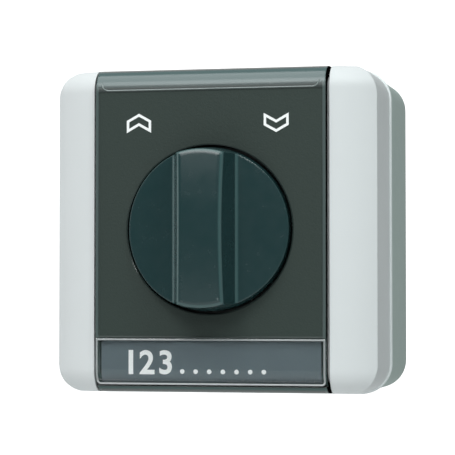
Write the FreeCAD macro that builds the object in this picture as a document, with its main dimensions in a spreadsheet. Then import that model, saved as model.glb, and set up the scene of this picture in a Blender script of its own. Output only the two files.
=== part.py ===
import FreeCAD, Part
import math
import os
import re
import Sketcher

# Surface-mounted rotary switch for a roller shutter. All sizes are in millimetres.
# Frame: the wall is the plane Y = 0, the viewer stands at -Y, X runs to the viewer's right, Z up.
# Every "depth" below is a distance from the wall towards the viewer.

doc = FreeCAD.newDocument("shutter_switch")
sheet = doc.addObject("Spreadsheet::Sheet", "Sizes")

SIZES = [
    # outside of the box and its cover
    ("box_side", 75.4), ("box_depth", 27.0), ("box_corner", 7.0), ("box_back_round", 1.5),
    ("box_wall", 2.6), ("seam_depth", 27.8), ("face_depth", 53.6),
    ("side_draft", 0.5), ("top_draft", 1.4), ("cover_corner", 6.8), ("top_round", 5.2),
    ("roll_radius", 29.0), ("roll_reach", 11.2), ("cover_wall", 2.2),
    ("lip_reach", 0.4), ("lip_height", 1.2),
    ("seal_inset", 0.6), ("seal_width", 1.8),
    # centre plate
    ("rail_width", 10.25), ("plate_gap", 0.64), ("plate_drop", 0.1), ("plate_skin", 2.4),
    ("plate_seat", 0.15), ("skirt_height", 16.0), ("web_skin", 1.8),
    ("field_border", 0.7), ("field_top", 5.9), ("field_gap", 0.45), ("field_sink", 0.2),
    ("knob_hole_radius", 19.26), ("hole_chamfer", 0.25), ("well_wall", 1.9), ("well_depth", 6.8),
    ("well_floor", 1.8), ("well_gap", 0.7),
    ("clip_inset", 2.2), ("clip_width", 5.0), ("clip_thick", 1.4), ("clip_length", 3.4),
    ("clip_hook", 0.6), ("clip_gap", 0.35),
    # label under its clear window
    ("window_rise", 2.2), ("window_height", 10.7), ("window_skin", 1.0),
    ("window_gap", 0.15), ("label_skin", 0.25), ("label_margin", 1.2), ("label_play", 0.02),
    ("notch_width", 1.1), ("notch_drop", 5.0), ("notch_step", 2.0), ("notch_size", 1.5),
    # knob
    ("knob_radius", 18.55), ("knob_rim_rise", 0.95), ("knob_side_draft", 5.0),
    ("knob_crest_rise", 4.05), ("bar_rise", 10.6),
    ("bar_front_half", 4.85), ("bar_base_half", 7.15), ("bar_crown", 1.1),
    ("bar_edge_round", 1.3), ("bar_root_round", 1.2), ("knob_skin", 2.0),
    ("knob_clearance", 0.5), ("hub_radius", 5.0), ("hub_back_depth", 44.0),
    ("groove_radius", 4.4), ("groove_depth", 45.6), ("groove_width", 0.9),
    ("clip_ring_radius", 6.8), ("ring_thick", 0.8), ("ring_play", 0.03), ("ring_slot", 5.0),
    ("shaft_side", 6.0), ("shaft_play", 0.05), ("shaft_front_depth", 51.2),
    ("shaft_back_depth", 17.0), ("seal_play", 0.05), ("hub_bore_radius", 6.6),
    # mechanism
    ("strap_gap", 2.2), ("strap_margin", 1.0), ("strap_back", 34.8), ("strap_thick", 1.2),
    ("strap_corner", 3.0), ("strap_hole", 12.0), ("strap_screw_inset", 3.5),
    ("screw_freedom", 0.4), ("seat_play", 0.02),
    ("base_width", 40.0), ("base_back", 11.0), ("base_wall", 1.6), ("clamp_offset", 0.7),
    ("base_corner", 2.0), ("cap_thick", 1.6), ("boss_radius", 7.0), ("boss_front", 37.4),
    ("rotor_radius", 11.0), ("rotor_disc_back", 24.4), ("rotor_disc_thick", 4.6),
    ("rotor_body_radius", 6.0), ("rotor_body_back", 14.6), ("rotor_journal", 5.5),
    ("rotor_tail", 3.0), ("bearing_play", 0.05), ("notch_cut", 1.2), ("detent_angle", 45.0),
    ("collar_wall", 0.8), ("thrust_gap", 0.3),
    ("spring_grip", 1.8), ("spring_thick", 0.5), ("spring_rise", 1.9), ("spring_inset", 0.4),
    ("nose_half", 2.4), ("nose_tip", 0.6), ("bracket_width", 3.4), ("bracket_tall", 3.4),
    ("mechanism_inset", 3.2), ("mechanism_post", 2.7), ("mechanism_screw", 1.0),
    ("mechanism_head", 1.9), ("mechanism_head_height", 1.2), ("mechanism_screw_length", 7.0),
    ("bridge_back", 15.4), ("bridge_thick", 1.0), ("bridge_ring", 8.5), ("bridge_reach", 13.0),
    ("bridge_width", 4.0), ("contact_play", 0.1), ("finger_thick", 0.6),
    ("finger_width", 5.0), ("finger_reach", 10.0), ("finger_start", 6.8), ("finger_end_gap", 0.2),
    ("clamp_width", 7.0), ("clamp_tall", 5.6), ("clamp_deep", 6.0), ("clamp_side_gap", 0.1),
    ("wire_hole", 1.3), ("wire_sink", 1.6), ("wire_mouth", 0.4),
    ("clamp_screw", 1.5), ("clamp_play", 0.03), ("clamp_head_lip", 0.7), ("clamp_head_tall", 1.2),
    ("clamp_slot", 0.6),
    # openings and fixings
    ("entry_depth", 13.5), ("entry_radius", 8.2), ("entry_flange", 10.4), ("entry_sink", 1.0),
    ("entry_play", 0.05), ("cable_radius", 4.5), ("inner_flange", 1.2),
    ("wall_hole_reach", 27.0), ("wall_hole_radius", 2.2),
    ("cover_screw_aside", 15.9), ("cover_screw_below", 11.9), ("column_radius", 3.4),
    ("column_foot_gap", 0.6), ("screw_radius", 1.75), ("screw_hole", 2.1), ("screw_play", 0.03),
    ("head_radius", 3.0), ("head_height", 1.9), ("head_sink", 0.3), ("screw_length", 33.0),
    ("boss_wall", 1.9), ("join", 0.4), ("small_screw", 1.5), ("small_head", 2.8),
    ("small_head_height", 1.6), ("small_screw_length", 9.0), ("slot_width", 0.8), ("slot_deep", 0.8),
]

for row, (alias, number) in enumerate(SIZES, start=1):
    sheet.set("A%d" % row, alias)
    sheet.set("B%d" % row, "%g" % number)
    sheet.setAlias("B%d" % row, alias)
doc.recompute()

ALIASES = {alias for alias, _ in SIZES}
SIZE = dict(SIZES)
UP = FreeCAD.Vector(0, 0, 1)
SIDEWAYS = FreeCAD.Vector(1, 0, 0)


def formula(words):
    """Turn a sum of size names into an expression that reads the sheet."""
    return re.sub(r"[a-z_]+", lambda m: "Sizes." + m.group(0) if m.group(0) in ALIASES else m.group(0),
                  str(words))


def bind(item, prop, words):
    item.setExpression(prop, formula(words))


def new_body(name):
    body = doc.addObject("PartDesign::Body", name)
    body.Label = name
    return body


def new_sketch(body, name, depth, plane="XZ_Plane"):
    """A sketch parallel to one of the body's origin planes, moved out by depth."""
    support = [f for f in body.Origin.OriginFeatures if f.Role == plane][0]
    sketch = body.newObject("Sketcher::SketchObject", name)
    sketch.AttachmentSupport = (support, [""])
    sketch.MapMode = "FlatFace"
    bind(sketch, "AttachmentOffset.Base.z", depth)
    return sketch


def add_polygon(sketch, corners):
    """A closed outline; each corner is a pair of formulas for its two coordinates."""
    first = sketch.GeometryCount
    count = len(corners)
    spots = []
    for i in range(count):
        turn = 2 * math.pi * i / count
        spots.append(FreeCAD.Vector(10 * math.cos(turn), 10 * math.sin(turn), 0))
    for i in range(count):
        sketch.addGeometry(Part.LineSegment(spots[i], spots[(i + 1) % count]))
    for i in range(count):
        nxt = first + (i + 1) % count
        sketch.addConstraint(Sketcher.Constraint("Coincident", first + i, 2, nxt, 1))
    for i, (across, along) in enumerate(corners):
        for kind, words in (("DistanceX", across), ("DistanceY", along)):
            spot = spots[i].x if kind == "DistanceX" else spots[i].y
            index = sketch.addConstraint(Sketcher.Constraint(kind, -1, 1, first + i, 1, spot))
            bind(sketch, "Constraints[%d]" % index, words)


def add_rectangle(sketch, width, height, across="0", along="0"):
    left = "%s - (%s) / 2" % (across, width)
    right = "%s + (%s) / 2" % (across, width)
    low = "%s - (%s) / 2" % (along, height)
    high = "%s + (%s) / 2" % (along, height)
    add_polygon(sketch, [(left, low), (right, low), (right, high), (left, high)])


def add_circle(sketch, radius, across="0", along="0"):
    index = sketch.addGeometry(Part.Circle(FreeCAD.Vector(5, 5, 0), UP, 4))
    for constraint, words in (
        (Sketcher.Constraint("Radius", index, 4.0), radius),
        (Sketcher.Constraint("DistanceX", -1, 1, index, 3, 5.0), across),
        (Sketcher.Constraint("DistanceY", -1, 1, index, 3, 5.0), along),
    ):
        bind(sketch, "Constraints[%d]" % sketch.addConstraint(constraint), words)


def add_pad(body, name, sketch, length, draft=None):
    pad = body.newObject("PartDesign::Pad", name)
    pad.Profile = sketch
    bind(pad, "Length", length)
    if draft:
        bind(pad, "TaperAngle", draft)
    doc.recompute()
    return pad


def edge_names(shape, wanted):
    return ["Edge%d" % (i + 1) for i, edge in enumerate(shape.Edges) if wanted(edge)]


def add_round(body, name, base, wanted, radius):
    """Fillet the chosen edges of the body's last feature."""
    fillet = body.newObject("PartDesign::Fillet", name)
    fillet.Base = (base, edge_names(base.Shape, wanted))
    bind(fillet, "Radius", radius)
    doc.recompute()
    return fillet


def runs_deep(edge):
    """True for the edges that run from the wall to the viewer, drafted or not."""
    along = edge.Vertexes[-1].Point - edge.Vertexes[0].Point
    return along.Length > 0.5 and abs(along.y) > 0.9 * along.Length


def lies_at(depth, direction=None):
    """A test for the edges that lie wholly at one distance from the wall.

    With a direction, only straight edges that run that way are taken."""
    def test(edge):
        ends = [corner.Point for corner in edge.Vertexes]
        if any(abs(end.y + depth) > 1e-3 for end in ends):
            return False
        if direction is None:
            return True
        return (ends[-1] - ends[0]).cross(direction).Length < 1e-3
    return test


def front_of(feature):
    return max(-corner.Y for corner in feature.Shape.Vertexes)


def slab(name, width, height, back, thick, corner=None, across="0", along="0", draft=None):
    """A rectangular plate or block with its four long edges rounded if asked."""
    body = new_body(name)
    sketch = new_sketch(body, name + "_outline", back)
    add_rectangle(sketch, width, height, across, along)
    pad = add_pad(body, name + "_pad", sketch, thick, draft)
    if corner:
        add_round(body, name + "_corners", pad, runs_deep, corner)
    return body


def post(name, radius, back, thick, across="0", along="0"):
    body = new_body(name)
    sketch = new_sketch(body, name + "_outline", back)
    add_circle(sketch, radius, across, along)
    add_pad(body, name + "_pad", sketch, thick)
    return body


def posts(name, radius, back, thick, spots):
    """One body with the same round post at several places."""
    body = new_body(name)
    sketch = new_sketch(body, name + "_outline", back)
    for across, along in spots:
        add_circle(sketch, radius, across, along)
    add_pad(body, name + "_pad", sketch, thick)
    return body


def blocks(name, width, height, back, thick, spots):
    body = new_body(name)
    sketch = new_sketch(body, name + "_outline", back)
    for across, along in spots:
        add_rectangle(sketch, width, height, across, along)
    add_pad(body, name + "_pad", sketch, thick)
    return body


def revolved(name, corners, spin_up=False):
    """Turn an outline about the knob axis, or about the vertical axis when asked.

    Corners are (radius, distance along the axis)."""
    body = new_body(name)
    sketch = new_sketch(body, name + "_outline", "0", "YZ_Plane" if not spin_up else "XZ_Plane")
    if spin_up:
        add_polygon(sketch, corners)
    else:
        add_polygon(sketch, [("-(%s)" % depth, radius) for radius, depth in corners])
    turn = body.newObject("PartDesign::Revolution", name + "_turn")
    turn.Profile = sketch
    turn.ReferenceAxis = (sketch, ["V_Axis" if spin_up else "H_Axis"])
    turn.Angle = 360
    doc.recompute()
    return body


def cut(name, base, tool):
    result = doc.addObject("Part::Cut", name)
    result.Base = base
    result.Tool = tool
    result.Label = name
    doc.recompute()
    return result


def common(name, first, second):
    result = doc.addObject("Part::MultiCommon", name)
    result.Shapes = [first, second]
    result.Label = name
    doc.recompute()
    return result


def fuse(name, *shapes):
    result = doc.addObject("Part::MultiFuse", name)
    result.Shapes = list(shapes)
    result.Label = name
    doc.recompute()
    return result


def profile(name, inset, drop="0"):
    """The cover's side view drawn out sideways: rounded along its top and bottom front edges."""
    body = new_body(name)
    sketch = new_sketch(body, name + "_outline", "seam_depth")
    add_rectangle(sketch, "2 * box_side", "box_side - 2 * (%s + %s)" % (inset, drop))
    pad = add_pad(body, name + "_pad", sketch, "face_depth - seam_depth - (%s)" % inset, "-top_draft")
    add_round(body, name + "_rounds", pad, lies_at(front_of(pad), SIDEWAYS),
              "top_round - (%s)" % inset)
    return body


def roll(name, inset):
    """A block wider than the cover: its front rolls back at both sides in a large arc.

    Its top and bottom front edges are rounded all along the arc."""
    width = "box_side + 2 * roll_reach - 2 * (%s)" % inset
    body = new_body(name)
    sketch = new_sketch(body, name + "_outline", "seam_depth - roll_radius")
    add_rectangle(sketch, width, "box_side - 2 * (%s) + 2 * roll_radius * tan(top_draft * 1 deg)" % inset)
    pad = add_pad(body, name + "_pad", sketch, "face_depth - seam_depth + roll_radius - (%s)" % inset,
                  "-top_draft")
    sides = add_round(body, name + "_sides", pad, lies_at(front_of(pad), UP),
                      "roll_radius - (%s)" % inset)
    add_round(body, name + "_edges", sides, lies_at(front_of(pad), SIDEWAYS),
              "top_round - (%s)" % inset)
    return body


def shell(name, inset):
    """The cover's outer form, taken in by an inset; its back is the seam plane.

    The rolled front meets the side walls in a crease, as on the real cover."""
    side = "box_side - 2 * (%s)" % inset
    outline = slab(name + "_walls", side, side, "seam_depth", "face_depth - seam_depth",
                   "cover_corner - (%s)" % inset, draft="-side_draft")
    return common(name, outline, roll(name + "_roll", inset))


NODES = {}


def keep(node, item):
    """File an object as one of the finished pieces."""
    item.Label = node
    NODES[node] = item
    return item


def mirror_pair(across, along):
    """Two places on the falling diagonal: upper left and lower right."""
    return [("-" + across, along), (across, "-" + along)]


COVER_SCREWS = mirror_pair("(box_side / 2 - cover_screw_aside)", "(box_side / 2 - cover_screw_below)")
CHANNEL = "(box_side - 2 * rail_width)"
PLATE = "(%s - 2 * plate_gap)" % CHANNEL
WINDOW_LOW = "(window_rise - box_side / 2)"
WINDOW_HIGH = "(%s + window_height)" % WINDOW_LOW
CLIP_REACH = "(%s / 2 - clip_inset)" % PLATE
# The housing is as tall as its detent disc with a clamp above and below; the strap follows it.
BASE_HEIGHT = "(2 * (rotor_radius + clamp_offset + clamp_tall + clamp_side_gap + base_wall))"
STRAP_HEIGHT = "(%s + 2 * strap_margin)" % BASE_HEIGHT
STRAP_WIDTH = "(box_side - 2 * cover_wall - 2 * strap_gap)"
STRAP_REACH = "(%s / 2 - strap_screw_inset)" % STRAP_WIDTH
STRAP_SCREWS = [("-" + STRAP_REACH, "0"), (STRAP_REACH, "0")]
MECHANISM_SCREWS = mirror_pair("(base_width / 2 - mechanism_inset)",
                               "(%s / 2 - mechanism_inset)" % BASE_HEIGHT)
STRAP_FRONT = "(strap_back + strap_thick + 2 * seat_play)"
CAP_BACK = "(strap_back - cap_thick)"

# Cover: one outer form, hollowed, with a channel for the centre plate between two rails.
outer_form = shell("outer_form", "0")
seat_form = profile("seat_form", "plate_skin + plate_seat", "plate_drop")
web_form = shell("web_form", "plate_skin + plate_seat + web_skin")
rail_form = shell("rail_form", "cover_wall")
rail_inner = CHANNEL + " / 2 + web_skin"

lip_side = "box_side + 2 * lip_reach"
lip = slab("lip", lip_side, lip_side, "seam_depth", "lip_height", "cover_corner + lip_reach")
cover_outer = fuse("cover_outer", outer_form, lip)
channel_block = slab("channel_block", CHANNEL, "2 * box_side",
                     "face_depth - skirt_height - plate_seat", "2 * skirt_height")
channel_tool = cut("channel_tool", channel_block, seat_form)
middle_block = slab("middle_block", "2 * (%s)" % rail_inner, "2 * box_side", "seam_depth - 1",
                    "face_depth")
rail_pockets = cut("rail_pockets", rail_form, middle_block)
rear_block = slab("rear_block", "2 * box_side", "2 * box_side", "seam_depth - 1",
                  "face_depth - seam_depth + 1 - skirt_height - plate_seat - web_skin")
rear_pocket = common("rear_pocket", shell("rear_form", "cover_wall"), rear_block)
cover_hollow = fuse("cover_hollow", web_form, rail_pockets, rear_pocket)
well_opening = post("well_opening", "knob_hole_radius + well_wall + well_gap", "seam_depth",
                    "face_depth")
clip_slots = blocks("clip_slots", "clip_thick + 2 * clip_gap + clip_hook", "clip_width + 2 * clip_gap",
                    "seam_depth", "face_depth",
                    [("-" + CLIP_REACH, "0"), (CLIP_REACH, "0")])
web_front = "face_depth - plate_skin - plate_seat"
columns = posts("columns", "column_radius", "seam_depth + column_foot_gap",
                "%s - join - seam_depth - column_foot_gap" % web_front, COVER_SCREWS)
column_bores = posts("column_bores", "screw_hole", "seam_depth - 1", "face_depth", COVER_SCREWS)
column_sinks = posts("column_sinks", "head_radius + head_sink",
                     "%s - head_height" % web_front, "10", COVER_SCREWS)
cover_body = fuse("cover_body", cut("cover_shell", cover_outer, cover_hollow), columns)
cover_cuts = fuse("cover_cuts", channel_tool, well_opening, clip_slots, column_bores, column_sinks)
keep("cover_frame", cut("cover_frame", cover_body, cover_cuts))

# Centre plate: a skin of the same outer form, narrower than the channel, with the knob's well.
plate_block = slab("plate_block", PLATE, "2 * box_side", "face_depth - skirt_height",
                   "2 * skirt_height")
plate_form = profile("plate_form", "0", "plate_drop")
plate_blank = common("plate_blank", plate_form, plate_block)
plate_back = profile("plate_back", "plate_skin", "plate_drop")
plate_skin = cut("plate_skin_form", plate_blank, plate_back)
well_tube = post("well_tube", "knob_hole_radius + well_wall", "face_depth - well_depth",
                 "well_depth - plate_skin + join")
clip_legs = new_body("clip_legs")
for side in ("-", ""):
    leg = "%s(%s - clip_thick / 2)" % (side, CLIP_REACH)
    foot = "%s(%s + clip_thick / 2)" % (side, CLIP_REACH)
    toe = "%s(%s + clip_thick / 2 + clip_hook)" % (side, CLIP_REACH)
    tip = "plate_skin + plate_seat + web_skin + clip_length"
    catch = "plate_skin + plate_seat + web_skin + clip_gap"
    sketch = new_sketch(clip_legs, "clip_outline" + ("_left" if side else "_right"),
                        "-clip_width / 2", "XY_Plane")
    add_polygon(sketch, [
        (leg, "-(face_depth - plate_skin + join)"), (foot, "-(face_depth - plate_skin + join)"),
        (foot, "-(face_depth - (%s))" % catch), (toe, "-(face_depth - (%s))" % catch),
        (foot, "-(face_depth - (%s))" % tip), (leg, "-(face_depth - (%s))" % tip),
    ])
    add_pad(clip_legs, sketch.Name + "_pad", sketch, "clip_width")
plate_body = fuse("plate_body", plate_skin, well_tube, clip_legs)

well_hollow = revolved("well_hollow", [
    ("0", "face_depth + 5"), ("knob_hole_radius + 5", "face_depth + 5"),
    ("knob_hole_radius + hole_chamfer", "face_depth"),
    ("knob_hole_radius", "face_depth - hole_chamfer"),
    ("knob_hole_radius", "face_depth - well_depth + well_floor"),
    ("hub_bore_radius", "face_depth - well_depth + well_floor"),
    ("hub_bore_radius", "face_depth - well_depth - 1"), ("0", "face_depth - well_depth - 1"),
])
field_low = "(%s + field_gap)" % WINDOW_HIGH
field_high = "(box_side / 2 - field_top)"
field_block = slab("field_block", PLATE + " - 2 * field_border", "%s - %s" % (field_high, field_low),
                   "face_depth - 6", "12", None, "0", "(%s + %s) / 2" % (field_high, field_low))
field_tool = cut("field_tool", field_block, profile("field_form", "field_sink", "plate_drop"))
window_middle = "(%s + window_height / 2)" % WINDOW_LOW
window_bed = slab("window_bed", PLATE + " + 2 * window_gap", "window_height + 2 * window_gap",
                  "face_depth - 20", "30", None, "0", window_middle)
bed_skin = "window_skin + label_skin + window_gap"
window_tool = cut("window_tool", window_bed, profile("bed_form", bed_skin, "plate_drop"))
screw_reliefs = posts("screw_reliefs", "head_radius + head_sink", "face_depth - plate_skin - 1",
                      "1.5", COVER_SCREWS)
plate_cuts = fuse("plate_cuts", well_hollow, field_tool, window_tool, screw_reliefs)
keep("center_plate", cut("center_plate", plate_body, plate_cuts))

# Label strip and the clear window that snaps over it.
window_block = slab("window_block", PLATE, "window_height", "face_depth - 20", "30", None, "0",
                    window_middle)
window_blank = common("window_blank", plate_form, window_block)
window_clear = cut("window_clear", window_blank, profile("window_form", "window_skin", "plate_drop"))
notch_side = "(%s / 2 - notch_width / 2)" % PLATE
notch_high = "%s - notch_drop - notch_size / 2" % WINDOW_HIGH
notch_spots = []
for step in ("0", "notch_step"):
    notch_spots.append((notch_side, "%s - %s" % (notch_high, step)))
notch_spots.append(("-" + notch_side, notch_high))
window_notches = blocks("window_notches", "notch_width", "notch_size", "face_depth - 10", "12",
                        notch_spots)
keep("label_window", cut("label_window", window_clear, window_notches))
label_block = slab("label_block", PLATE + " - 2 * label_margin", "window_height - label_margin",
                   "face_depth - 20", "30", None, "0", window_middle)
label_front = profile("label_front", "window_skin + label_play", "plate_drop")
label_back = profile("label_back", "window_skin + label_play + label_skin", "plate_drop")
keep("label_strip", cut("label_strip", common("label_blank", label_front, label_block), label_back))

# Cover screws: head in the column's sink, shank down into the box's post.
head_back = "%s - head_height" % web_front


def screws(name, radius, head, head_tall, seat, length, spots):
    """Pan-head screws whose heads sit on a seat and whose shanks run back to the wall."""
    shanks = posts(name + "_shanks", radius, "%s - (%s)" % (seat, length), "%s + 0.5" % length, spots)
    heads = posts(name + "_heads", head, seat, head_tall, spots)
    body = fuse(name + "_blanks", shanks, heads)
    slots = blocks(name + "_slots", "3 * (%s)" % head, "slot_width",
                   "%s + %s - slot_deep" % (seat, head_tall), "3", spots)
    return cut(name, body, slots)


keep("cover_screws", screws("cover_screws", "screw_radius", "head_radius", "head_height - head_sink",
                            head_back, "screw_length", COVER_SCREWS))

# Box: open to the front, with posts for the cover and the strap and two cable entries.
box_block = slab("box_block", "box_side", "box_side", "0", "box_depth", "box_corner")
add_round(box_block, "box_back_edges", box_block.Tip, lies_at(0), "box_back_round")
hollow_side = "box_side - 2 * box_wall"
box_hollow = slab("box_hollow", hollow_side, hollow_side, "box_wall", "box_depth",
                  "box_corner - box_wall")
cover_posts = posts("cover_posts", "screw_radius + boss_wall", "box_wall - 0.5",
                    "seam_depth - box_wall + 0.5", COVER_SCREWS)
strap_posts = posts("strap_posts", "small_screw + boss_wall", "box_wall - 0.5",
                    "strap_back - box_wall + 0.5", STRAP_SCREWS)
box_body = fuse("box_body", cut("box_shell", box_block, box_hollow), cover_posts, strap_posts)
cover_bores = posts("cover_bores", "screw_radius + screw_play",
                    "%s - screw_length - 1" % head_back, "face_depth", COVER_SCREWS)
strap_bores = posts("strap_bores", "small_screw + screw_play",
                    "%s - small_screw_length - 1" % STRAP_FRONT, "face_depth", STRAP_SCREWS)
wall_holes = posts("wall_holes", "wall_hole_radius", "-1", "box_wall + 2",
                   [("0", "-wall_hole_reach"), ("0", "wall_hole_reach")])


def entry_parts(name, up, hole):
    """The outline of a stepped rubber part that fills a cable entry, turned about the vertical."""
    outer = "box_side / 2"
    inner = "box_side / 2 - box_wall"
    corners = [
        (hole, outer), ("entry_flange", outer),
        ("entry_flange", "%s - entry_sink" % outer), ("entry_radius", "%s - entry_sink" % outer),
        ("entry_radius", inner), ("entry_flange", inner),
        ("entry_radius - 1", "%s - inner_flange" % inner), (hole, "%s - inner_flange" % inner),
    ]
    sign = "" if up else "-"
    body = revolved(name, [(across, "%s(%s)" % (sign, along)) for across, along in corners], True)
    bind(body, "Placement.Base.y", "-entry_depth")
    return body


def entry_cut(name, up):
    outer = "box_side / 2"
    inner = "box_side / 2 - box_wall"
    corners = [
        ("0", "%s + 3" % outer), ("entry_flange + entry_play", "%s + 3" % outer),
        ("entry_flange + entry_play", "%s - entry_sink - entry_play" % outer),
        ("entry_radius + entry_play", "%s - entry_sink - entry_play" % outer),
        ("entry_radius + entry_play", "%s - 1" % inner), ("0", "%s - 1" % inner),
    ]
    sign = "" if up else "-"
    body = revolved(name, [(across, "%s(%s)" % (sign, along)) for across, along in corners], True)
    bind(body, "Placement.Base.y", "-entry_depth")
    return body


box_cuts = fuse("box_cuts", cover_bores, strap_bores, wall_holes, entry_cut("entry_cut_low", False),
                entry_cut("entry_cut_high", True))
keep("back_box", cut("back_box", box_body, box_cuts))
keep("entry_grommet", entry_parts("entry_grommet", False, "cable_radius"))
keep("entry_plug", entry_parts("entry_plug", True, "0"))

# Seal between the box's rim and the cover.
seal_side = "(box_side - 2 * seal_inset)"
seal_blank = slab("seal_blank", seal_side, seal_side, "box_depth + seal_play / 5",
                  "seam_depth - box_depth - 2 * seal_play / 5", "box_corner - seal_inset")
seal_hole = "%s - 2 * seal_width" % seal_side
seal_inner = slab("seal_inner", seal_hole, seal_hole, "box_depth - 1", "4",
                  "box_corner - seal_inset - seal_width")
keep("box_seal", cut("box_seal", seal_blank, seal_inner))

# Strap that carries the mechanism, and its screws.
strap_blank = slab("strap_blank", STRAP_WIDTH, STRAP_HEIGHT, "strap_back + seat_play",
                   "strap_thick", "strap_corner")
strap_cuts = fuse(
    "strap_cuts",
    post("strap_middle", "strap_hole", "strap_back - 1", "3 * strap_thick"),
    posts("strap_holes", "small_screw + screw_freedom", "strap_back - 1", "3 * strap_thick",
          STRAP_SCREWS),
    posts("strap_inner_holes", "mechanism_screw + screw_freedom / 2", "strap_back - 1",
          "3 * strap_thick", MECHANISM_SCREWS),
)
keep("support_strap", cut("support_strap", strap_blank, strap_cuts))
keep("strap_screws", screws("strap_screws", "small_screw", "small_head", "small_head_height",
                            STRAP_FRONT, "small_screw_length", STRAP_SCREWS))

# Mechanism housing: a cup open to the front and a cap, screwed together through the strap.
base_tall = "(%s - base_back - seat_play)" % CAP_BACK
base_blank = slab("base_blank", "base_width", BASE_HEIGHT, "base_back", base_tall, "base_corner")
base_hollow = slab("base_hollow", "base_width - 2 * base_wall", "%s - 2 * base_wall" % BASE_HEIGHT,
                   "base_back + base_wall", "face_depth")
corner_posts = posts("corner_posts", "mechanism_post", "base_back + base_wall / 2",
                     "%s - base_wall / 2" % base_tall, MECHANISM_SCREWS)
SPRING_SEAT = "(rotor_radius + spring_rise)"
SPRING_BACK = "(rotor_disc_back + spring_inset)"
SPRING_REACH = "(base_width / 2 - base_wall - bracket_width + spring_grip)"
bracket_x = "(base_width / 2 - base_wall - bracket_width / 2 + join / 2)"
bracket_z = "(%s + spring_thick / 2)" % SPRING_SEAT
brackets = blocks("brackets", "bracket_width + join", "bracket_tall", "base_back + base_wall / 2",
                  "rotor_disc_back + rotor_disc_thick - base_back - base_wall / 2",
                  [("-" + bracket_x, bracket_z), (bracket_x, bracket_z)])
base_body = fuse("base_body", cut("base_shell", base_blank, base_hollow), corner_posts, brackets)
base_bores = posts("base_bores", "mechanism_screw + screw_play",
                   "%s - mechanism_screw_length - 1" % STRAP_FRONT, "face_depth", MECHANISM_SCREWS)
tail_bore = post("tail_bore", "rotor_tail + bearing_play", "base_back - 1", "base_wall + 2")
spring_slot = slab("spring_slot", "2 * %s + 2 * clamp_side_gap" % SPRING_REACH,
                   "spring_thick + 2 * bearing_play", "%s - seat_play" % SPRING_BACK,
                   "rotor_disc_thick + 2", None, "0", bracket_z)
finger_back = "(bridge_back + bridge_thick + contact_play)"
clamp_back = "(%s + finger_thick + seat_play)" % finger_back
CLAMP_Z = "(rotor_radius + clamp_offset + clamp_tall / 2)"
CLAMPS = [("-finger_reach", "-" + CLAMP_Z), ("finger_reach", "-" + CLAMP_Z), ("0", CLAMP_Z)]


def wire_holes(name, radius):
    """Upright round holes through the clamps and the housing's top and bottom walls."""
    body = new_body(name)
    for index, (across, along) in enumerate(CLAMPS):
        start = "-" + BASE_HEIGHT if along.startswith("-") else "rotor_radius / 2"
        sketch = new_sketch(body, "%s_outline_%d" % (name, index), start, "XY_Plane")
        add_circle(sketch, radius, across, "-(%s + wire_sink)" % clamp_back)
        add_pad(body, "%s_pad_%d" % (name, index), sketch, "%s - rotor_radius / 2" % BASE_HEIGHT)
    return body


keep("switch_base", cut("switch_base", base_body,
                        fuse("base_cuts", base_bores, tail_bore, spring_slot,
                             wire_holes("wire_mouths", "wire_hole + wire_mouth"))))

cap_blank = slab("cap_blank", "base_width", BASE_HEIGHT, CAP_BACK, "cap_thick", "base_corner")
cap_boss = post("cap_boss", "boss_radius", CAP_BACK, "boss_front - %s" % CAP_BACK)
cap_cuts = fuse("cap_cuts",
                post("cap_bore", "rotor_journal + bearing_play", "%s - 1" % CAP_BACK, "face_depth"),
                posts("cap_holes", "mechanism_screw + screw_freedom / 2", "%s - 1" % CAP_BACK,
                      "face_depth", MECHANISM_SCREWS))
keep("switch_cap", cut("switch_cap", fuse("cap_body", cap_blank, cap_boss), cap_cuts))

# Rotor: detent disc and journals in one moulding, with a square bore for the shaft.
disc_front = "rotor_disc_back + rotor_disc_thick"
rotor_blank = revolved("rotor_blank", [
    ("0", "base_back + thrust_gap"), ("rotor_tail", "base_back + thrust_gap"),
    ("rotor_tail", "rotor_body_back"), ("rotor_body_radius", "rotor_body_back"),
    ("rotor_body_radius", "rotor_disc_back"), ("rotor_radius", "rotor_disc_back"),
    ("rotor_radius", disc_front), ("rotor_journal + collar_wall", disc_front),
    ("rotor_journal + collar_wall", "%s - thrust_gap" % CAP_BACK),
    ("rotor_journal", "%s - thrust_gap" % CAP_BACK), ("rotor_journal", "boss_front"),
    ("0", "boss_front"),
])
detent_cutter = new_body("detent_cutter")
for index, turn in enumerate((-1, 0, 1)):
    sketch = new_sketch(detent_cutter, "detent_outline_%d" % index, "rotor_disc_back - 1")
    angle = "%d * detent_angle * 1 deg" % turn
    add_circle(sketch, "1.25 * notch_cut", "rotor_radius * sin(%s)" % angle,
               "rotor_radius * cos(%s)" % angle)
    add_pad(detent_cutter, "detent_pad_%d" % index, sketch, "rotor_disc_thick + 2")
shaft_hole = "shaft_side + 2 * shaft_play"
shaft_bore = slab("shaft_bore", shaft_hole, shaft_hole, "shaft_back_depth - seat_play", "face_depth")
keep("rotor", cut("rotor", rotor_blank, fuse("rotor_cuts", detent_cutter, shaft_bore)))

# Contact bridge: a ring round the rotor with one arm that sweeps behind the fixed fingers.
bridge_ring = post("bridge_disc", "bridge_ring", "bridge_back", "bridge_thick")
bridge_arm = slab("bridge_arm", "bridge_width", "bridge_reach", "bridge_back", "bridge_thick", None,
                  "0", "-bridge_reach / 2")
keep("contact_bridge", cut("contact_bridge", fuse("bridge_body", bridge_ring, bridge_arm),
                           post("bridge_bore", "rotor_body_radius + seat_play / 2",
                                "bridge_back - 1", "3 * bridge_thick")))

# Fixed fingers in front of the bridge, one to each terminal.
finger_end = "(%s / 2 - base_wall - finger_end_gap)" % BASE_HEIGHT


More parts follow.
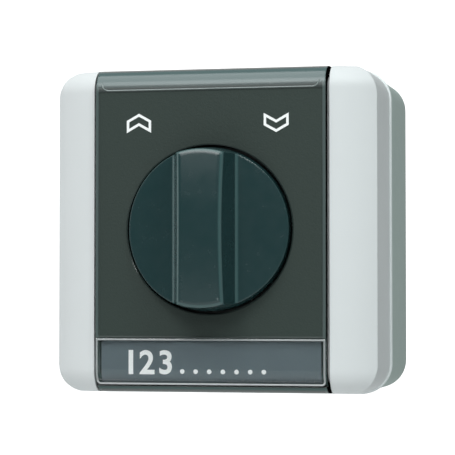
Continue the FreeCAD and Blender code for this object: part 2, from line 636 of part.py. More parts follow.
def finger(name, across, up):
    """A flat copper strip that runs from the rotor out to its clamp."""
    sign = "" if up else "-"
    keep(name, slab(name, "finger_width", "%s - finger_start" % finger_end, finger_back,
                    "finger_thick", None, across, "%s(%s + finger_start) / 2" % (sign, finger_end)))


finger("contact_common", "0", True)
finger("contact_up", "-finger_reach", False)
finger("contact_down", "finger_reach", False)

clamp_middle = "(%s + clamp_deep / 2)" % clamp_back
clamp_front = "(%s + clamp_deep + seat_play)" % clamp_back
clamp_blocks = blocks("clamp_blocks", "clamp_width", "clamp_tall", clamp_back, "clamp_deep", CLAMPS)
clamp_bores = posts("clamp_bores", "clamp_screw + clamp_play", clamp_middle, "clamp_deep", CLAMPS)
keep("terminal_clamps", cut("terminal_clamps", clamp_blocks,
                            fuse("clamp_cuts", clamp_bores, wire_holes("wire_bores", "wire_hole"))))
clamp_shanks = posts("clamp_shanks", "clamp_screw", "%s + wire_mouth" % clamp_middle,
                     "clamp_deep / 2", CLAMPS)
clamp_heads = posts("clamp_heads", "clamp_screw + clamp_head_lip", clamp_front, "clamp_head_tall",
                    CLAMPS)
clamp_slots = blocks("clamp_slots", "clamp_width", "clamp_slot",
                     "%s + clamp_head_tall - clamp_slot" % clamp_front, "clamp_head_tall", CLAMPS)
keep("terminal_screws", cut("terminal_screws", fuse("clamp_screw_blanks", clamp_shanks, clamp_heads),
                            clamp_slots))

# Detent spring: a bent leaf over the rotor disc whose nose drops into the notches.
detent_spring = new_body("detent_spring")
sketch = new_sketch(detent_spring, "spring_outline", SPRING_BACK)
nose_z = "(rotor_radius - notch_cut)"
fold = "(nose_half - spring_thick)"
add_polygon(sketch, [
    ("-" + SPRING_REACH, SPRING_SEAT), ("-nose_half", SPRING_SEAT), ("-nose_tip", nose_z),
    ("nose_tip", nose_z), ("nose_half", SPRING_SEAT), (SPRING_REACH, SPRING_SEAT),
    (SPRING_REACH, "%s + spring_thick" % SPRING_SEAT), (fold, "%s + spring_thick" % SPRING_SEAT),
    ("nose_tip / 3", "%s + spring_thick" % nose_z), ("-nose_tip / 3", "%s + spring_thick" % nose_z),
    ("-" + fold, "%s + spring_thick" % SPRING_SEAT),
    ("-" + SPRING_REACH, "%s + spring_thick" % SPRING_SEAT),
])
add_pad(detent_spring, "spring_pad", sketch, "rotor_disc_thick - 2 * spring_inset")
keep("detent_spring", detent_spring)

keep("mechanism_screws", screws("mechanism_screws", "mechanism_screw", "mechanism_head",
                                "mechanism_head_height", STRAP_FRONT, "mechanism_screw_length",
                                MECHANISM_SCREWS))

# Shaft, knob, the ring that holds the knob in the plate and the seal round its hub.
keep("drive_shaft", slab("drive_shaft", "shaft_side", "shaft_side", "shaft_back_depth",
                         "shaft_front_depth - shaft_back_depth"))

floor_front = "face_depth - well_depth + well_floor"
knob_back = "%s + knob_clearance" % floor_front
rim_depth = "face_depth + knob_rim_rise"
bar_front = "face_depth + bar_rise"
top_radius = "knob_radius - (bar_rise - knob_rim_rise) * tan(knob_side_draft * 1 deg)"
knob_cone = revolved("knob_cone", [
    ("0", knob_back), ("knob_radius", knob_back), ("knob_radius", rim_depth),
    (top_radius, bar_front), ("0", bar_front),
])
knob_section = new_body("knob_section")
sketch = new_sketch(knob_section, "knob_section_outline", "-2 * knob_radius", "XY_Plane")
add_polygon(sketch, [
    ("-2 * knob_radius", "-(%s)" % knob_back), ("2 * knob_radius", "-(%s)" % knob_back),
    ("2 * knob_radius", "-(%s)" % rim_depth), ("knob_radius", "-(%s)" % rim_depth),
    ("bar_base_half", "-(face_depth + knob_crest_rise)"), ("bar_front_half", "-(%s)" % bar_front),
    ("-bar_front_half", "-(%s)" % bar_front), ("-bar_base_half", "-(face_depth + knob_crest_rise)"),
    ("-knob_radius", "-(%s)" % rim_depth), ("-2 * knob_radius", "-(%s)" % rim_depth),
])
pad = add_pad(knob_section, "knob_section_pad", sketch, "4 * knob_radius")


def at_bar_root(edge):
    middle = edge.CenterOfMass
    return (abs(abs(middle.x) - SIZE["bar_base_half"]) < 0.01
            and abs(middle.y + SIZE["face_depth"] + SIZE["knob_crest_rise"]) < 0.01)


add_round(knob_section, "bar_roots", pad, at_bar_root, "bar_root_round")
crown_radius = "(knob_radius * knob_radius / (2 * bar_crown))"
crown = new_body("crown")
sketch = new_sketch(crown, "crown_outline", "-2 * knob_radius", "YZ_Plane")
add_circle(sketch, crown_radius, "-(%s) + %s" % (bar_front, crown_radius), "0")
add_pad(crown, "crown_pad", sketch, "4 * knob_radius")
knob_outer = common("knob_outer", common("knob_turned", knob_cone, knob_section), crown)


def on_bar_front(edge):
    """The long edges and ends of the bar's front face."""
    return edge.CenterOfMass.y < -(SIZE["face_depth"] + SIZE["bar_rise"] - SIZE["bar_crown"] - 0.5)


knob_rounded = doc.addObject("Part::Fillet", "knob_rounded")
knob_rounded.Base = knob_outer
knob_rounded.Edges = [(i + 1, SIZE["bar_edge_round"], SIZE["bar_edge_round"])
                      for i, edge in enumerate(knob_outer.Shape.Edges) if on_bar_front(edge)]
doc.recompute()

knob_hollow = revolved("knob_hollow", [
    ("hub_radius + 1.2", "%s - 1" % knob_back), ("knob_radius - knob_skin", "%s - 1" % knob_back),
    ("knob_radius - knob_skin", "%s - 1.4" % rim_depth),
    ("bar_base_half + 0.6", "%s - 1.4" % rim_depth), ("hub_radius + 1.2", "%s - 1.4" % rim_depth),
])
hub = revolved("hub", [
    ("0", "hub_back_depth"), ("hub_radius", "hub_back_depth"), ("hub_radius", "groove_depth"),
    ("groove_radius", "groove_depth"), ("groove_radius", "groove_depth + groove_width"),
    ("hub_radius", "groove_depth + groove_width"), ("hub_radius", "%s - 1" % rim_depth),
    ("0", "%s - 1" % rim_depth),
])
knob_shaft_bore = slab("knob_shaft_bore", "shaft_side + 2 * shaft_play", "shaft_side + 2 * shaft_play",
                       "hub_back_depth - 1", "shaft_front_depth + 0.3 - hub_back_depth + 1")
knob_body = fuse("knob_body", cut("knob_shell", knob_rounded, knob_hollow), hub)
keep("knob", cut("knob", knob_body, knob_shaft_bore))

ring_blank = post("ring_blank", "clip_ring_radius", "groove_depth + ring_play", "ring_thick")
ring_gap = slab("ring_gap", "ring_slot", "clip_ring_radius * 2", "groove_depth - 1", "4", None, "0",
                "-clip_ring_radius")
ring_cuts = fuse("ring_cuts", post("ring_bore", "groove_radius + ring_play", "groove_depth - 1", "4"),
                 ring_gap)
keep("retaining_ring", cut("retaining_ring", ring_blank, ring_cuts))

keep("shaft_seal", revolved("shaft_seal", [
    ("hub_radius + seal_play", "face_depth - well_depth"),
    ("hub_bore_radius - 0.01", "face_depth - well_depth"),
    ("hub_bore_radius - 0.01", floor_front),
    ("hub_radius + seal_play", floor_front),
]))

doc.recompute()
for item in doc.Objects:
    if "Invalid" in item.State or "Error" in item.State:
        raise RuntimeError("bad state: " + item.Name)
os.makedirs("parts", exist_ok=True)
for node, item in NODES.items():
    shape = item.Shape
    if shape.isNull() or not shape.isValid() or not shape.Solids:
        raise RuntimeError("bad shape: " + node)
    shape.exportStep(os.path.join("parts", node + ".step"))
    box = shape.BoundBox
    print("%-18s solids %d volume %9.2f  x %.2f..%.2f depth %.2f..%.2f z %.2f..%.2f" % (
        node, len(shape.Solids), shape.Volume, box.XMin, box.XMax, -box.YMax, -box.YMin,
        box.ZMin, box.ZMax))
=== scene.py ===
import math

import bmesh
import bpy
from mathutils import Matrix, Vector


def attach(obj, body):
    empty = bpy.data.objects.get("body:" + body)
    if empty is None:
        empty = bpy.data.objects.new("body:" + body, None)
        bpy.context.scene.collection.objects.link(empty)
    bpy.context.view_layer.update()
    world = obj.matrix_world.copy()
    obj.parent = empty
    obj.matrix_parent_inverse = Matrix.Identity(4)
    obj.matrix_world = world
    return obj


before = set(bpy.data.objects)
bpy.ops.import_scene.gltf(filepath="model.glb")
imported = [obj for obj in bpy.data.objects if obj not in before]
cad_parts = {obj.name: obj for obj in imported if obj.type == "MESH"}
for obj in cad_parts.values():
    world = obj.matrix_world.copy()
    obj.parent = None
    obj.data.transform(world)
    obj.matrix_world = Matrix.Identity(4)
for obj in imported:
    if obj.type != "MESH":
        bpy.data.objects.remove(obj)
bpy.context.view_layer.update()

SCENE = bpy.context.scene

# Places on the front of the switch, in metres. Depths are distances from the wall.
FACE = 0.0536              # front of the centre plate
FIELD = FACE - 0.0002      # front of the plate's sunken field
FIELD_HALF, FIELD_LOW, FIELD_HIGH = 0.02611, -0.02455, 0.0318
PLATE_HALF = 0.02681       # half of the plate's width
PLATE_ROUND = 0.0052       # radius of the plate's rounded top and bottom
ROUND_CENTRE = 0.031895    # height of that rounding's centre
CARD_INSET = 0.00102       # how far the label card lies behind the window's face

# Camera: fitted to the outline, the round hole and the plate's edges.
CAMERA_PLACE = (0.10726, -0.45218 - FACE, -0.01565)
CAMERA_AZIMUTH, CAMERA_ELEVATION = math.radians(12.83), math.radians(-1.98)
CAMERA_LENS, CAMERA_SENSOR = 162.18, 36.0    # millimetres

# Soft boxes: name, place, the point they face, size, power and colour.
WHITE = (1.0, 1.0, 1.0)
MIDDLE = (0, 0, 0)
LIGHTS = [
    ("front_box", (-0.33, -1.40, 0.56), MIDDLE, (0.55, 0.3), 1.2, WHITE),
    ("front_high_box", (-0.30, -1.22, 0.78), MIDDLE, (0.55, 0.25), 0.6, WHITE),
    ("top_box_front", (-0.21, -1.00, 0.85), (-0.21, -1.00, 0), (0.50, 0.7), 7.4, WHITE),
    ("top_box_middle", (-0.21, -0.30, 0.85), (-0.21, -0.30, 0), (0.50, 0.7), 4.2, WHITE),
    ("top_box_rear", (-0.21, 0.40, 0.85), (-0.21, 0.40, 0), (0.50, 0.7), 0.5, WHITE),
    ("right_strip", (0.53, -0.50, 0.70), MIDDLE, (0.22, 0.36), 3.4, (0.93, 1.0, 0.99)),
    ("front_fill_low", (0.51, -1.26, 0.52), MIDDLE, (0.26, 0.18), 1.4, WHITE),
    ("front_fill_high", (0.21, -1.17, 0.83), MIDDLE, (0.26, 0.18), 1.4, WHITE),
    ("left_panel", (-0.90, -0.20, 0.10), MIDDLE, (0.5, 0.9), 0.5, WHITE),
]
SURROUND_TONE, SURROUND_STRENGTH = (0.95, 1.0, 1.0, 1.0), 0.13

# Sockets of the Mix node when it mixes colours.
MIX_FACTOR, MIX_FIRST, MIX_SECOND, MIX_RESULT = 0, 6, 7, 2


def plate_depth(z, inset=0.0):
    """Distance from the wall of the plate's front, or of a surface parallel to it, at a height."""
    radius = PLATE_ROUND - inset
    over = min(max(abs(z) - ROUND_CENTRE, 0.0), radius)
    return FACE - PLATE_ROUND + math.sqrt(radius * radius - over * over)


def add_camera():
    data = bpy.data.cameras.new("camera")
    data.sensor_width = CAMERA_SENSOR
    data.lens = CAMERA_LENS
    data.clip_start, data.clip_end = 0.05, 20.0
    camera = bpy.data.objects.new("camera", data)
    flat = math.cos(CAMERA_ELEVATION)
    back = Vector((math.sin(CAMERA_AZIMUTH) * flat, -math.cos(CAMERA_AZIMUTH) * flat,
                   math.sin(CAMERA_ELEVATION)))
    camera.location = CAMERA_PLACE
    camera.rotation_mode = "QUATERNION"
    camera.rotation_quaternion = (-back).to_track_quat("-Z", "Y")
    SCENE.collection.objects.link(camera)
    SCENE.camera = camera


def add_area(name, place, target, size, power, colour):
    data = bpy.data.lights.new(name, "AREA")
    data.shape = "RECTANGLE"
    data.size, data.size_y = size
    data.energy = power
    data.color = colour
    light = bpy.data.objects.new(name, data)
    light.location = place
    light.rotation_mode = "QUATERNION"
    light.rotation_quaternion = (Vector(target) - Vector(place)).to_track_quat("-Z", "Y")
    SCENE.collection.objects.link(light)


def add_world():
    world = bpy.data.worlds.new("surround")
    world.use_nodes = True
    shade = world.node_tree.nodes["Background"]
    shade.inputs["Color"].default_value = SURROUND_TONE
    shade.inputs["Strength"].default_value = SURROUND_STRENGTH
    SCENE.world = world


add_camera()
add_world()
for light in LIGHTS:
    add_area(*light)
SCENE.view_settings.view_transform = "Standard"


# Materials
class Build:
    """A small helper for wiring a node material."""

    def __init__(self, name):
        self.material = bpy.data.materials.new(name)
        self.material.use_nodes = True
        self.tree = self.material.node_tree
        self.shader = self.tree.nodes["Principled BSDF"]
        self.place = self.add("ShaderNodeTexCoord").outputs["Object"]

    def add(self, kind, **values):
        made = self.tree.nodes.new(kind)
        for key, value in values.items():
            setattr(made, key, value)
        return made

    def link(self, start, end):
        self.tree.links.new(start, end)

    def feed(self, socket, value):
        """Link another node's output to a socket, or set a number or a colour on it."""
        if isinstance(value, bpy.types.NodeSocket):
            self.link(value, socket)
        else:
            socket.default_value = value

    def set(self, **values):
        """Feed the shader's own sockets, named with _ for each space."""
        for key, value in values.items():
            self.feed(self.shader.inputs[key.replace("_", " ")], value)

    def noise(self, scale, detail=3.0, rough=0.5, stretch=None):
        made = self.add("ShaderNodeTexNoise")
        made.inputs["Scale"].default_value = scale
        made.inputs["Detail"].default_value = detail
        made.inputs["Roughness"].default_value = rough
        source = self.place
        if stretch:
            moved = self.add("ShaderNodeMapping")
            moved.inputs["Scale"].default_value = stretch
            self.link(source, moved.inputs["Vector"])
            source = moved.outputs["Vector"]
        self.link(source, made.inputs["Vector"])
        return made.outputs["Fac"]

    def spread(self, value, low, high, start=0.3, end=0.7):
        """Map a value from start..end onto low..high. Noise lies mostly between 0.3 and 0.7."""
        made = self.add("ShaderNodeMapRange")
        made.inputs["From Min"].default_value = start
        made.inputs["From Max"].default_value = end
        made.inputs["To Min"].default_value = low
        made.inputs["To Max"].default_value = high
        self.link(value, made.inputs["Value"])
        return made.outputs["Result"]

    def math(self, operation, *values):
        made = self.add("ShaderNodeMath", operation=operation)
        for socket, value in zip(made.inputs, values):
            self.feed(socket, value)
        return made.outputs["Value"]

    def blend(self, factor, first, second):
        """Mix two tones, each an output or a colour of three numbers."""
        made = self.add("ShaderNodeMix", data_type="RGBA")
        self.link(factor, made.inputs[MIX_FACTOR])
        for place, tone in ((MIX_FIRST, first), (MIX_SECOND, second)):
            self.feed(made.inputs[place], (*tone, 1.0) if isinstance(tone, tuple) else tone)
        return made.outputs[MIX_RESULT]

    def bump(self, height, distance, normal=None):
        made = self.add("ShaderNodeBump")
        made.inputs["Distance"].default_value = distance
        self.link(height, made.inputs["Height"])
        if normal is not None:
            self.link(normal, made.inputs["Normal"])
        return made.outputs["Normal"]

    def facing(self):
        """The surface's own direction, without bump or soft edges."""
        return self.add("ShaderNodeNewGeometry").outputs["Normal"]

    def soft_edges(self, radius):
        """Normals that turn over the edges as a small rounding would."""
        made = self.add("ShaderNodeBevel", samples=6)
        made.inputs["Radius"].default_value = radius
        return made.outputs["Normal"]

    def edge_mask(self, radius):
        """0 on open faces, rising to 1 along the edges."""
        strongest, weakest = 0.72, 0.95    # how far the soft normal agrees with the face's own
        compare = self.add("ShaderNodeVectorMath", operation="DOT_PRODUCT")
        self.link(self.soft_edges(radius), compare.inputs[0])
        self.link(self.facing(), compare.inputs[1])
        return self.spread(compare.outputs["Value"], 1.0, 0.0, strongest, weakest)

    def roundings(self, most, face):
        """1 where the surface leans away from the front, as on a rounded edge, and 0 on faces."""
        wall_end, round_start = 0.40, 0.52
        apart = self.add("ShaderNodeSeparateXYZ")
        self.link(self.facing(), apart.inputs["Vector"])
        forward = self.math("ABSOLUTE", apart.outputs["Y"])
        return self.math("MULTIPLY", self.spread(forward, 0.0, 1.0, wall_end, round_start),
                         self.spread(forward, 1.0, 0.0, most, face))

    def axes(self):
        made = self.add("ShaderNodeSeparateXYZ")
        self.link(self.place, made.inputs["Vector"])
        return made.outputs["X"], made.outputs["Y"], made.outputs["Z"]


def shades(colour, shift):
    return (tuple(c * (1 - shift) for c in colour),
            tuple(min(1.0, c * (1 + shift)) for c in colour))


def plastic(name, colour, roughness, grain_scale, grain_depth, edge=None, shift=0.03, wear_and_highlight=None):
    """Moulded plastic: slow colour drift, fine grain, uneven gloss, edges and roundings lighter as
    rubbed wear and painted highlight.
    """
    drift_scale, gloss_scale, gloss_shift, polish = 60.0, 350.0, 0.04, 0.12
    b = Build(name)
    low, high = shades(colour, shift)
    tone = b.blend(b.noise(drift_scale, 2.0), low, high)
    gloss = b.spread(b.noise(gloss_scale, 4.0), roughness - gloss_shift, roughness + gloss_shift)
    if wear_and_highlight:
        # Edges and roundings painted lighter: partly rubbed wear, partly painted highlight.
        wear_and_highlight_mask = b.math("MAXIMUM", b.edge_mask(edge), b.roundings(most=0.84, face=0.955))
        tone = b.blend(wear_and_highlight_mask, tone, wear_and_highlight)
        gloss = b.math("SUBTRACT", gloss, b.math("MULTIPLY", wear_and_highlight_mask, polish))
    b.set(Base_Color=tone, Roughness=gloss)
    rounded = b.soft_edges(edge) if edge else None
    b.set(Normal=b.bump(b.noise(grain_scale, 2.0), grain_depth, rounded))
    return b


def metal(name, colour, roughness):
    """Drawn or rolled metal: its gloss and its fine lines run along the piece."""
    gloss_shift, line_depth = 0.08, 0.00002
    b = Build(name)
    low = tuple(c * 0.9 for c in colour)
    b.set(Base_Color=b.blend(b.noise(400.0, 4.0), low, colour), Metallic=1.0)
    b.set(Roughness=b.spread(b.noise(900.0, 5.0, 0.6, (1, 1, 8)),
                             roughness - gloss_shift, roughness + gloss_shift))
    b.set(Normal=b.bump(b.noise(1500.0, 3.0, 0.5, (1, 1, 10)), line_depth))
    return b


def plate_material():
    """Smooth dark plastic with a fine-grained sunken field; its edges, strips and roundings carry
    painted light, its sides in the gaps painted shade.
    """
    smooth_tone, field_tone = (0.024, 0.036, 0.034), (0.012, 0.026, 0.021)
    border_highlight_tone, edge_highlight_tone = (0.070, 0.096, 0.094), (0.060, 0.080, 0.078)
    painted_top_light_tone, painted_bottom_light_tone = (0.040, 0.085, 0.085), (0.014, 0.052, 0.048)
    gap_shade_tone = (0.003, 0.003, 0.003)
    field_reach, side_skin, side_start = 0.0015, 0.00006, 0.0003
    b = Build("dark_plate")
    across, depth, up = b.axes()
    aside = b.math("ABSOLUTE", across)
    inside = b.math("LESS_THAN", aside, FIELD_HALF)
    inside = b.math("MULTIPLY", inside, b.math("LESS_THAN", up, FIELD_HIGH))
    inside = b.math("MULTIPLY", inside, b.math("GREATER_THAN", up, FIELD_LOW))
    inside = b.math("MULTIPLY", inside, b.math("LESS_THAN", depth, -FACE + field_reach))
    # The plate's sides in the gaps beside the rails: painted shade, near black and without
    # specular.
    gap_shade = b.math("GREATER_THAN", aside, PLATE_HALF - side_skin)
    gap_shade = b.math("MULTIPLY", gap_shade, b.math("GREATER_THAN", depth, -FACE + side_start))
    smooth = b.blend(b.noise(60.0, 2.0), *shades(smooth_tone, 0.05))
    grained = b.blend(b.noise(2600.0, 2.0), *shades(field_tone, 0.12))
    front = b.blend(inside, smooth, grained)
    # Side strips beside the field are painted lighter as the highlight of the plate's edge
    # rounding.
    front = b.blend(b.math("GREATER_THAN", aside, FIELD_HALF), front, border_highlight_tone)
    # Painted light: the top rounding is lighter as reflected top light, and the bottom rounding
    # takes its own lit tone.
    leaning = b.roundings(most=0.955, face=0.995)
    for side, tone in (("GREATER_THAN", painted_top_light_tone), ("LESS_THAN", painted_bottom_light_tone)):
        front = b.blend(b.math("MULTIPLY", leaning, b.math(side, up, 0.0)), front, tone)
    # Painted highlight lines along the plate's edges.
    front = b.blend(b.edge_mask(0.0004), front, edge_highlight_tone)
    b.set(Base_Color=b.blend(gap_shade, front, gap_shade_tone))
    b.set(Roughness=b.spread(inside, 0.2, 0.62, 0.0, 1.0))
    b.set(Specular_IOR_Level=b.spread(gap_shade, 0.5, 0.0, 0.0, 1.0))
    grain = b.math("MULTIPLY", b.noise(2200.0, 3.0), b.math("ADD", inside, 0.08))
    b.set(Normal=b.bump(grain, 0.00004, b.soft_edges(0.0005)))
    return b


def shell_material(name, colour, roughness, from_depth, to_depth, painted_band_tone):
    """Moulded shell whose band between two depths takes a painted-light tone, lighter or darker
    than the rest.
    """
    fade = 0.0001
    b = plastic(name, colour, roughness, 1800.0, 0.000008, 0.0004)
    depth = b.axes()[1]
    band = b.math("MULTIPLY", b.spread(depth, 0.0, 1.0, -to_depth - fade, -to_depth + fade),
                  b.spread(depth, 1.0, 0.0, -from_depth - fade, -from_depth + fade))
    tone = b.shader.inputs["Base Color"].links[0].from_socket
    b.set(Base_Color=b.blend(band, tone, painted_band_tone))
    return b


def window_material():
    """Clear plastic, thin enough to show the card behind it."""
    b = Build("clear_window")
    b.set(Base_Color=(0.95, 0.97, 0.97, 1.0), Transmission_Weight=1.0, IOR=1.49, Alpha=0.30)
    b.set(Roughness=b.spread(b.noise(500.0, 2.0), 0.05, 0.12))
    b.set(Normal=b.bump(b.noise(250.0, 2.0), 0.000004, b.soft_edges(0.0003)))
    return b


def rim_glint_material():
    """Window's edge band, painted light grey as a highlight and lighter still along the bottom as
    painted light gathered in it.
    """
    b = Build("painted_rim_glint")
    up = b.axes()[2]
    lower = b.spread(up, 1.0, 0.0, -0.0352, -0.0340)
    b.set(Base_Color=b.blend(lower, (0.30, 0.33, 0.335), (0.58, 0.61, 0.62)))
    b.set(Roughness=b.spread(b.noise(900.0, 2.0), 0.08, 0.16))
    b.set(Normal=b.bump(b.noise(900.0, 2.0), 0.000002))
    return b


def dress(build, *names):
    for name in names:
        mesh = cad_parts[name].data
        mesh.materials.clear()
        mesh.materials.append(build.material)


# The cover's band at its rear lip is painted lighter as a highlight.
dress(shell_material("light_grey_cover", (0.64, 0.675, 0.682), 0.5,
                     0.0276, 0.0290, (0.86, 0.92, 0.92)), "cover_frame")
# The box's band next to the seam is painted darker as shadow.
dress(shell_material("grey_box", (0.38, 0.465, 0.44), 0.55,
                     0.0262, 0.0272, (0.19, 0.24, 0.225)), "back_box")
dress(plate_material(), "center_plate")
# The knob's edges and roundings are painted lighter: partly wear, partly painted highlight.
dress(plastic("petrol_knob", (0.010, 0.033, 0.035), 0.24, 2200.0, 0.000008, 0.0006,
              wear_and_highlight=(0.042, 0.092, 0.093)), "knob")
dress(plastic("label_card", (0.092, 0.127, 0.142), 0.6, 1500.0, 0.00001, shift=0.12),
      "label_strip")
dress(plastic("black_rubber", (0.012, 0.012, 0.012), 0.7, 1500.0, 0.00003),
      "box_seal", "shaft_seal")
dress(plastic("grey_rubber", (0.10, 0.115, 0.11), 0.75, 1300.0, 0.00004, 0.0004),
      "entry_grommet", "entry_plug")
dress(plastic("insulator", (0.55, 0.54, 0.48), 0.5, 1500.0, 0.00002),
      "switch_base", "switch_cap")
dress(plastic("rotor_moulding", (0.03, 0.03, 0.03), 0.45, 1500.0, 0.00002), "rotor")
dress(metal("plated_steel", (0.62, 0.62, 0.60), 0.32),
      "cover_screws", "strap_screws", "mechanism_screws", "terminal_screws",
      "support_strap", "drive_shaft", "retaining_ring", "detent_spring")
dress(metal("contact_metal", (0.80, 0.48, 0.30), 0.3),
      "contact_bridge", "contact_common", "contact_up", "contact_down")
dress(metal("clamp_brass", (0.78, 0.66, 0.38), 0.35), "terminal_clamps")
dress(window_material(), "label_window")

INK_WHITE = plastic("white_ink", (0.86, 0.89, 0.89), 0.5, 3000.0, 0.000004, shift=0.04)
LIP = plastic("polished_lip", (0.022, 0.034, 0.031), 0.14, 900.0, 0.000001)
# Light bead colour: a painted highlight line.
BEAD_HIGHLIGHT = plastic("painted_bead_highlight", (0.17, 0.21, 0.205), 0.22, 900.0, 0.000001)
# Window rim colour: a painted highlight.
RIM_GLINT = rim_glint_material()


def add_mesh(name, verts, faces, material):
    mesh = bpy.data.meshes.new(name)
    mesh.from_pydata(verts, [], faces)
    mesh.validate()
    fix = bmesh.new()
    fix.from_mesh(mesh)
    bmesh.ops.recalc_face_normals(fix, faces=fix.faces)
    fix.to_mesh(mesh)
    fix.free()
    mesh.materials.append(material)
    item = bpy.data.objects.new(name, mesh)
    SCENE.collection.objects.link(item)
    return item


def inset_outline(corners, distance):
    """Move every side of a closed outline inwards by a distance."""
    count = len(corners)
    after_each = corners[1:] + corners[:1]
    area = sum(a[0] * b[1] - b[0] * a[1] for a, b in zip(corners, after_each))
    turn = 1.0 if area > 0 else -1.0
    moved = []
    for i in range(count):
        before, here, after = (Vector(corners[j % count]) for j in (i - 1, i, i + 1))
        first = (here - before).normalized()
        second = (after - here).normalized()
        normal_a = Vector((-first.y, first.x)) * turn
        normal_b = Vector((-second.y, second.x)) * turn
        middle = (normal_a + normal_b).normalized()
        moved.append(here + middle * (distance / middle.dot(normal_a)))
    return moved


# Printed arrows on the plate's field
ARROW_STROKE = 0.00058
ARROW_INK = 0.00004


def add_arrow(name, centre, up):
    """An outlined chevron, pointed at one end and notched at the other."""
    half, tip, shoulder, foot, notch = 0.00288, 0.0022, 0.0006, -0.0022, -0.0006
    points = [(0, tip), (half, shoulder), (half, foot),
              (0, notch), (-half, foot), (-half, shoulder)]
    sign = 1.0 if up else -1.0
    corners = [(centre[0] + x, centre[1] + sign * z) for x, z in points]
    inner = inset_outline(corners, ARROW_STROKE)
    count = len(corners)
    verts = []
    for y in (-FIELD, -FIELD - ARROW_INK):
        verts += [(p[0], y, p[1]) for p in corners] + [(p[0], y, p[1]) for p in inner]
    faces = []
    for i in range(count):
        j = (i + 1) % count
        back = (i, j, count + j, count + i)
        front = tuple(2 * count + k for k in back)
        faces += [back, front, (i, j, 2 * count + j, 2 * count + i),
                  (count + i, count + j, 3 * count + j, 3 * count + i)]
    return add_mesh(name, verts, faces, INK_WHITE.material)


# Printed digits and dots on the label card
DIGIT_LOW, DIGIT_HIGH, DIGIT_WIDEST = -0.03295, -0.02745, 0.0037
DIGIT_PLACES = {"1": -0.0186, "2": -0.0148, "3": -0.0104}
DIGIT_BOLDNESS = 0.022
DOT_COUNT, DOT_FIRST, DOT_STEP, DOT_HEIGHT = 7, -0.0065, 0.00316, -0.03228
DOT_RADIUS, DOT_SIDES, DOT_UNEVEN = 0.00053, 28, 0.03
CUT_STEP = 0.0002          # height of the strips that let flat marks follow the card's curve
INK_FRONT, INK_BACK = 0.000012, 0.000004    # both clear of the card and of the window


def lay_on_card(name, outline_mesh, box):
    """Scale flat letters into a box on the label card and bend them to its curve."""
    middle, widest, low, high = box
    flat = bmesh.new()
    flat.from_mesh(outline_mesh)
    xs = [v.co.x for v in flat.verts]
    ys = [v.co.y for v in flat.verts]
    first_x, wide, first_y, tall = min(xs), max(xs) - min(xs), min(ys), max(ys) - min(ys)
    across = min(widest, (high - low) * wide / tall)
    cuts = max(2, round((high - low) / CUT_STEP))
    for i in range(1, cuts):
        bmesh.ops.bisect_plane(flat, geom=flat.verts[:] + flat.edges[:] + flat.faces[:], dist=1e-6,
                               plane_co=(0, first_y + tall * i / cuts, 0), plane_no=(0, 1, 0))
    flat.verts.index_update()
    verts = []
    for v in flat.verts:
        x = middle + ((v.co.x - first_x) / wide - 0.5) * across
        z = low + (v.co.y - first_y) / tall * (high - low)
        lift = INK_FRONT if v.co.z > 0 else INK_BACK
        verts.append((x, -plate_depth(z, CARD_INSET) - lift, z))
    faces = [tuple(v.index for v in face.verts) for face in flat.faces]
    flat.free()
    return add_mesh(name, verts, faces, INK_WHITE.material)


def add_digit(digit, middle):
    data = bpy.data.curves.new("digit_outline", "FONT")
    data.body = digit
    data.size = 1.0
    data.offset = DIGIT_BOLDNESS
    data.extrude = 0.01
    data.resolution_u = 8
    writer = bpy.data.objects.new("digit_writer", data)
    SCENE.collection.objects.link(writer)
    bpy.context.view_layer.update()
    written = writer.evaluated_get(bpy.context.evaluated_depsgraph_get())
    outline = bpy.data.meshes.new_from_object(written)
    bpy.data.objects.remove(writer)
    return lay_on_card("label_digit_" + digit, outline,
                       (middle, DIGIT_WIDEST, DIGIT_LOW, DIGIT_HIGH))


def add_dot(index):
    """One printed full stop: a slightly uneven disc."""
    verts = []
    for height in (-1.0, 1.0):
        for i in range(DOT_SIDES):
            turn = 2 * math.pi * i / DOT_SIDES
            reach = DOT_RADIUS * (1 + DOT_UNEVEN * math.sin(3 * turn + index))
            verts.append((reach * math.cos(turn), reach * math.sin(turn), height))
    faces = [tuple(range(DOT_SIDES)), tuple(range(DOT_SIDES, 2 * DOT_SIDES))]
    for i in range(DOT_SIDES):
        j = (i + 1) % DOT_SIDES
        faces.append((i, j, DOT_SIDES + j, DOT_SIDES + i))
    flat = bpy.data.meshes.new("dot_outline")
    flat.from_pydata(verts, [], faces)
    return lay_on_card("label_dot_%d" % index, flat,
                       (DOT_FIRST + DOT_STEP * index, 2 * DOT_RADIUS,
                        DOT_HEIGHT - DOT_RADIUS, DOT_HEIGHT + DOT_RADIUS))


MARKS = [add_arrow("arrow_up_mark", (-0.01657, 0.02442), True),
         add_arrow("arrow_down_mark", (0.0155, 0.02405), False)]
for digit, middle in DIGIT_PLACES.items():
    MARKS.append(add_digit(digit, middle))
for index in range(DOT_COUNT):
    MARKS.append(add_dot(index))

for mark in MARKS:
    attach(mark, "housing")


# Fine ridges on the plate and the window. SUNK is how far their feet reach below the surface.
SUNK = -0.00002


def add_ridge(name, points, closed, material):
    """A narrow ridge along a path: three points for each step, a foot, the crest and a foot."""
    count = len(points) // 3
    faces = []
    for i in range(count if closed else count - 1):
        here, after = 3 * i, 3 * ((i + 1) % count)
        for k in (0, 1):
            faces.append((here + k, after + k, after + k + 1, here + k + 1))
    return add_mesh(name, points, faces, material)


def add_well_lip():
    """Fine raised lip round the knob's well; its inner slope catches the light."""
    steps, inner, crest, outer, lift = 160, 0.01927, 0.01950, 0.01952, 0.00007
    points = []
    for i in range(steps):
        turn = 2 * math.pi * i / steps
        for reach, rise in ((inner, SUNK), (crest, lift), (outer, SUNK)):
            points.append((reach * math.cos(turn), -FIELD - rise, reach * math.sin(turn)))
    lip = add_ridge("well_lip", points, True, LIP.material)
    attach(lip, "housing")


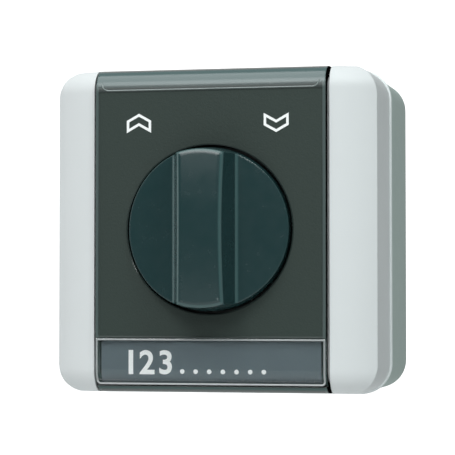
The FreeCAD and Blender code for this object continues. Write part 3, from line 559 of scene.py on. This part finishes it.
def add_field_bead():
    """Fine bead between the plate's grained field and its smooth top, curling up at both ends; its
    light colour is a painted highlight line.
    """
    side, level, bend, half_wide, lift = 0.02535, 0.03205, 0.0016, 0.00016, 0.00010
    bend_steps, straight_steps = 8, 24
    path = []
    for i in range(bend_steps + 1):
        turn = math.radians(90 * i / bend_steps)
        path.append((-side + bend - bend * math.cos(turn),
                     level + bend - bend * math.sin(turn), turn))
    curl = path[:]
    path += [(-side + bend + (side - bend) * 2 * i / straight_steps, level, math.pi / 2)
             for i in range(1, straight_steps)]
    path += [(-x, z, math.pi - turn) for x, z, turn in reversed(curl)]
    points = []
    for x, z, turn in path:
        out_x, out_z = -math.cos(turn), -math.sin(turn)
        for step, rise in ((-1, SUNK), (0, lift), (1, SUNK)):
            at_x, at_z = x + out_x * half_wide * step, z + out_z * half_wide * step
            points.append((at_x, -plate_depth(at_z) - rise, at_z))
    bead = add_ridge("field_bead", points, False, BEAD_HIGHLIGHT.material)
    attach(bead, "housing")


def add_window_rim():
    """A thin band round the window's face that follows its curve; its light colour is a painted
    highlight.
    """
    side, low, high = PLATE_HALF - 0.00012, -0.03532, -0.02483
    band, lift, corner, outer_foot = 0.00042, 0.00003, 0.0010, -0.00012
    side_steps, corner_steps = 14, 8
    foot = low + corner
    outline = [(-side, foot + (high - low - corner) * i / side_steps)
               for i in range(side_steps + 1)]
    outline += [(-x, z) for x, z in reversed(outline)]
    turns = [math.radians(90 * i / corner_steps) for i in range(1, corner_steps + 1)]
    outline += [(side - corner + corner * math.cos(a), foot - corner * math.sin(a)) for a in turns]
    outline += [(-x, z) for x, z in reversed(outline[-corner_steps:])]
    points = []
    for row in zip(outline, inset_outline(outline, band / 2), inset_outline(outline, band)):
        for (x, z), rise in zip(row, (outer_foot, lift, SUNK)):
            points.append((x, -plate_depth(z) - rise, z))
    rim = add_ridge("window_rim", points, True, RIM_GLINT.material)
    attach(rim, "housing")


add_well_lip()
add_field_bead()
add_window_rim()


# Stage: a pale floor and a white backdrop all round, far behind.
FLOOR_HALF, FLOOR_LEVEL = 3.0, -0.30
WALL_STEPS, WALL_RADIUS, WALL_LOW, WALL_HIGH = 36, 4.0, -3.0, 4.0


def stage_material(name, colour, glow):
    b = Build(name)
    low, high = shades(colour, 0.01)
    tone = b.blend(b.noise(3.0, 2.0), low, high)
    b.set(Base_Color=tone, Roughness=b.spread(b.noise(40.0, 3.0), 0.75, 0.85))
    b.set(Emission_Color=tone, Emission_Strength=glow)
    b.material.cycles.emission_sampling = "NONE"
    return b.material


def add_floor():
    turns = ((-1, -1), (1, -1), (1, 1), (-1, 1))
    corners = [(x * FLOOR_HALF, y * FLOOR_HALF, FLOOR_LEVEL) for x, y in turns]
    paint = stage_material("floor_paint", (0.85, 0.86, 0.86), 0.08)
    return add_mesh("floor", corners, [(0, 1, 2, 3)], paint)


def add_backdrop(name, first, last, glow, seen):
    """A wide round wall far behind the floor's edge, either seen itself or only in reflections."""
    verts = []
    for i in range(WALL_STEPS + 1):
        turn = math.radians(first + (last - first) * i / WALL_STEPS)
        for height in (WALL_LOW, WALL_HIGH):
            verts.append((WALL_RADIUS * math.cos(turn), WALL_RADIUS * math.sin(turn), height))
    faces = [(2 * i, 2 * i + 2, 2 * i + 3, 2 * i + 1) for i in range(WALL_STEPS)]
    paint = stage_material(name + "_paint", (0.99, 0.99, 0.99), glow)
    wall = add_mesh(name, verts, faces, paint)
    wall.visible_diffuse = False
    wall.visible_camera = seen
    wall.visible_glossy = not seen
    wall.visible_transmission = False
    wall.visible_shadow = False
    return wall


add_floor()
add_backdrop("backdrop", 0, 360, 1.2, True)
add_backdrop("mirrored_wall_right", -20, 95, 0.20, False)
add_backdrop("mirrored_wall_left", 95, 200, 0.75, False)
